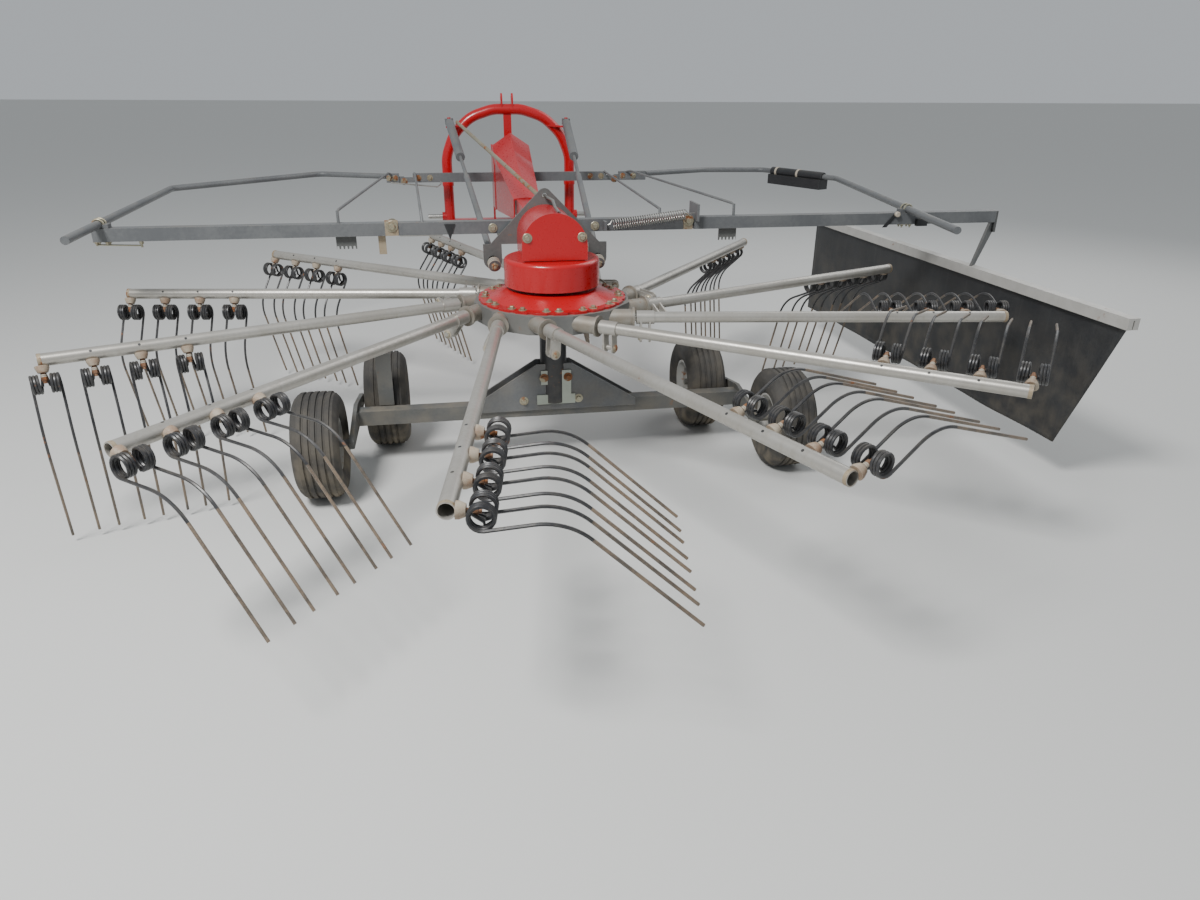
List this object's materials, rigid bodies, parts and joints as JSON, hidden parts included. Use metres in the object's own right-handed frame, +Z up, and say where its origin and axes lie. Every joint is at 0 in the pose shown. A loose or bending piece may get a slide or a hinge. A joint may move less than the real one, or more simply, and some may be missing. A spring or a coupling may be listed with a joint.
{
  "type": "rotary rake",
  "caption": "Mounted single-rotor rotary rake with sprung double tines, swinging headstock, tandem axle, folding guard and side curtain",
  "frame": {"origin": "bottom centre of the bounding box, on the ground", "axes": "+X to the right and +Y forward toward the tractor as the machine travels, +Z up"},
  "size_m": [3.866, 3.9854, 1.4099],
  "materials": {
    "red_paint": "gloss",
    "grey_paint": "satin",
    "arm_grey": "satin",
    "spring_steel": "satin",
    "tyre_rubber": "matte",
    "rim_paint": "satin",
    "zinc_steel": "satin",
    "bare_steel": "satin",
    "black_sheet": "satin"
  },
  "bodies": {
    "frame": {"main_beam": "red_paint", "tower": "red_paint", "gearbox": "red_paint", "gearbox_cover": "red_paint", "head_plate": "grey_paint", "column": "grey_paint", "axle_beam": "grey_paint", "axle_gussets": "grey_paint", "bar_yoke": "grey_paint", "guard_bars": "grey_paint", "bogie_beams": "grey_paint", "guard_spring": "zinc_steel", "height_crank": "zinc_steel", "pto_shaft": "bare_steel"},
    "rotor": {"rotor_carrier": "grey_paint", "rotor_disc": "red_paint"},
    "arm_01": {"arm_01": "arm_grey", "tines_01": "spring_steel"},
    "arm_02": {"arm_02": "arm_grey", "tines_02": "spring_steel"},
    "arm_03": {"arm_03": "arm_grey", "tines_03": "spring_steel"},
    "arm_04": {"arm_04": "arm_grey", "tines_04": "spring_steel"},
    "arm_05": {"arm_05": "arm_grey", "tines_05": "spring_steel"},
    "arm_06": {"arm_06": "arm_grey", "tines_06": "spring_steel"},
    "arm_07": {"arm_07": "arm_grey", "tines_07": "spring_steel"},
    "arm_08": {"arm_08": "arm_grey", "tines_08": "spring_steel"},
    "arm_09": {"arm_09": "arm_grey", "tines_09": "spring_steel"},
    "arm_10": {"arm_10": "arm_grey", "tines_10": "spring_steel"},
    "arm_11": {"arm_11": "arm_grey", "tines_11": "spring_steel"},
    "arm_12": {"arm_12": "arm_grey", "tines_12": "spring_steel"},
    "wheel_front_left": {"front_left_tyre": "tyre_rubber", "front_left_rim": "rim_paint"},
    "wheel_front_right": {"front_right_tyre": "tyre_rubber", "front_right_rim": "rim_paint"},
    "wheel_rear_left": {"rear_left_tyre": "tyre_rubber", "rear_left_rim": "rim_paint"},
    "wheel_rear_right": {"rear_right_tyre": "tyre_rubber", "rear_right_rim": "rim_paint"},
    "headstock": {"headstock": "red_paint", "hitch_pins": "bare_steel"},
    "strut_barrel_left": {"strut_barrel_left": "grey_paint"},
    "strut_rod_left": {"strut_rod_left": "grey_paint"},
    "strut_barrel_right": {"strut_barrel_right": "grey_paint"},
    "strut_rod_right": {"strut_rod_right": "grey_paint"},
    "guard_left": {"guard_left": "grey_paint"},
    "guard_right": {"guard_right": "grey_paint", "curtain_rail": "grey_paint", "curtain": "black_sheet", "stowage_box": "black_sheet"},
    "stand": {"parking_stand": "grey_paint"}
  },
  "joints": [
    {"name": "rotor_turn", "type": "hinge", "parent": "frame", "child": "rotor", "pos_m": [-0.15422, -0.14732, 0.65], "axis": [0, 0, 1], "continuous": true},
    {"name": "arm_01_roll", "type": "hinge", "parent": "rotor", "child": "arm_01", "pos_m": [-0.39671, -0.46565, 0.652], "axis": [-0.1444, -0.9895, 0], "range_deg": [-63, 32]},
    {"name": "arm_02_roll", "type": "hinge", "parent": "rotor", "child": "arm_02", "pos_m": [-0.20506, -0.54424, 0.652], "axis": [0.3697, -0.9291, 0], "range_deg": [-87, 8]},
    {"name": "arm_03_roll", "type": "hinge", "parent": "rotor", "child": "arm_03", "pos_m": [0.00022, -0.51649, 0.652], "axis": [0.7848, -0.6198, 0], "range_deg": [-95, 0]},
    {"name": "arm_04_roll", "type": "hinge", "parent": "rotor", "child": "arm_04", "pos_m": [0.16411, -0.38981, 0.652], "axis": [0.9895, -0.1444, 0], "range_deg": [-75, 20]},
    {"name": "arm_05_roll", "type": "hinge", "parent": "rotor", "child": "arm_05", "pos_m": [0.24271, -0.19816, 0.652], "axis": [0.9291, 0.3697, 0], "range_deg": [-30, 65]},
    {"name": "arm_06_roll", "type": "hinge", "parent": "rotor", "child": "arm_06", "pos_m": [0.21495, 0.00712, 0.652], "axis": [0.6198, 0.7848, 0], "range_deg": [-10, 85]},
    {"name": "arm_07_roll", "type": "hinge", "parent": "rotor", "child": "arm_07", "pos_m": [0.08827, 0.17101, 0.652], "axis": [0.1444, 0.9895, 0], "range_deg": [0, 95]},
    {"name": "arm_08_roll", "type": "hinge", "parent": "rotor", "child": "arm_08", "pos_m": [-0.10338, 0.24961, 0.652], "axis": [-0.3697, 0.9291, 0], "range_deg": [0, 95]},
    {"name": "arm_09_roll", "type": "hinge", "parent": "rotor", "child": "arm_09", "pos_m": [-0.30865, 0.22185, 0.652], "axis": [-0.7848, 0.6198, 0], "range_deg": [0, 95]},
    {"name": "arm_10_roll", "type": "hinge", "parent": "rotor", "child": "arm_10", "pos_m": [-0.47255, 0.09518, 0.652], "axis": [-0.9895, 0.1444, 0], "range_deg": [0, 95]},
    {"name": "arm_11_roll", "type": "hinge", "parent": "rotor", "child": "arm_11", "pos_m": [-0.55115, -0.09648, 0.652], "axis": [-0.9291, -0.3697, 0], "range_deg": [0, 95]},
    {"name": "arm_12_roll", "type": "hinge", "parent": "rotor", "child": "arm_12", "pos_m": [-0.52339, -0.30175, 0.652], "axis": [-0.6198, -0.7848, 0], "range_deg": [-53, 42]},
    {"name": "wheel_front_left_spin", "type": "hinge", "parent": "frame", "child": "wheel_front_left", "pos_m": [-0.85422, 0.09768, 0.205], "axis": [1, 0, 0], "continuous": true},
    {"name": "wheel_front_right_spin", "type": "hinge", "parent": "frame", "child": "wheel_front_right", "pos_m": [0.54578, 0.09768, 0.205], "axis": [1, 0, 0], "continuous": true},
    {"name": "wheel_rear_left_spin", "type": "hinge", "parent": "frame", "child": "wheel_rear_left", "pos_m": [-1.07922, -0.39232, 0.205], "axis": [1, 0, 0], "continuous": true},
    {"name": "wheel_rear_right_spin", "type": "hinge", "parent": "frame", "child": "wheel_rear_right", "pos_m": [0.77078, -0.39232, 0.205], "axis": [1, 0, 0], "continuous": true},
    {"name": "headstock_swing", "type": "hinge", "parent": "frame", "child": "headstock", "pos_m": [-0.15422, 1.78268, 0.89], "axis": [0, 0, 1], "range_deg": [-12, 12]},
    {"name": "strut_left_yaw", "type": "hinge", "parent": "headstock", "child": "strut_barrel_left", "pos_m": [-0.49422, 1.80268, 1.258], "axis": [-0.0497, 0, 0.9988], "range_deg": [-16, 16]},
    {"name": "strut_left_slide", "type": "slide", "parent": "strut_barrel_left", "child": "strut_rod_left", "axis": [0.0663, -0.9652, -0.2529], "range_m": [-0.09, 0.09]},
    {"name": "strut_right_yaw", "type": "hinge", "parent": "headstock", "child": "strut_barrel_right", "pos_m": [0.18578, 1.80268, 1.258], "axis": [0.0497, 0, 0.9988], "range_deg": [-16, 16]},
    {"name": "strut_right_slide", "type": "slide", "parent": "strut_barrel_right", "child": "strut_rod_right", "axis": [-0.0663, -0.9652, -0.2529], "range_m": [-0.09, 0.09]},
    {"name": "guard_left_fold", "type": "hinge", "parent": "frame", "child": "guard_left", "pos_m": [-0.77122, 0.91268, 0.94], "axis": [0, 1, 0], "range_deg": [0, 90]},
    {"name": "guard_right_fold", "type": "hinge", "parent": "frame", "child": "guard_right", "pos_m": [0.46278, 0.91268, 0.94], "axis": [0, -1, 0], "range_deg": [0, 90], "deforming": ["guard_spring"]},
    {"name": "stand_lift", "type": "slide", "parent": "headstock", "child": "stand", "axis": [0, 0, 1], "range_m": [0, 0.36]}
  ],
  "couplings": [
    {"joint": "strut_left_yaw", "follows": "headstock_swing", "ratio": -0.975},
    {"joint": "strut_left_slide", "follows": "headstock_swing", "m_per_rad": -0.3265},
    {"joint": "strut_right_yaw", "follows": "headstock_swing", "ratio": -0.975},
    {"joint": "strut_right_slide", "follows": "headstock_swing", "m_per_rad": 0.3265}
  ]
}
